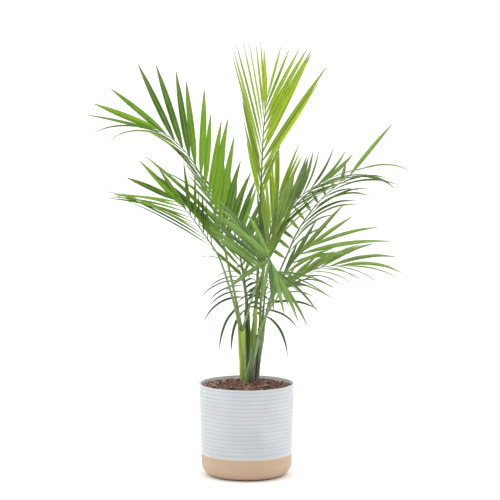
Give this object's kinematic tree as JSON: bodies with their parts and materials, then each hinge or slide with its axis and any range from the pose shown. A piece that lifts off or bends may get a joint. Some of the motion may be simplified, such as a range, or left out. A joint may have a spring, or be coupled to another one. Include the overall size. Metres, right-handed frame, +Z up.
{
  "type": "potted palm",
  "caption": "Young clustering feather palm with arching fronds of narrow folded leaflets, growing from sheathed stems in a round ribbed planter with a tan base.",
  "frame": {"origin": "centre of the planter's flat underside", "axes": "+Z up; -Y towards the side that the picture looks at; +X to the right as seen from there"},
  "size_m": [0.8443, 0.625, 1.153],
  "materials": {
    "glaze": "satin",
    "soil": "matte",
    "stem": "satin",
    "leaf": "satin",
    "young_leaf": "satin",
    "shaded_leaf": "satin"
  },
  "bodies": {
    "root": {"planter": "glaze", "soil": "soil", "stem_left": "stem", "stem_front": "stem", "stem_back": "stem", "stem_middle": "stem", "stem_right": "stem", "frond_spire": "young_leaf", "frond_back": "young_leaf", "frond_left_high": "leaf", "frond_left_low": "leaf", "frond_right_high": "leaf", "frond_right_arching": "leaf", "frond_right_middle": "leaf", "frond_right_low": "leaf", "frond_facing": "leaf", "frond_behind_left": "shaded_leaf", "frond_behind_right": "shaded_leaf", "frond_behind_high": "shaded_leaf"}
  },
  "joints": []
}
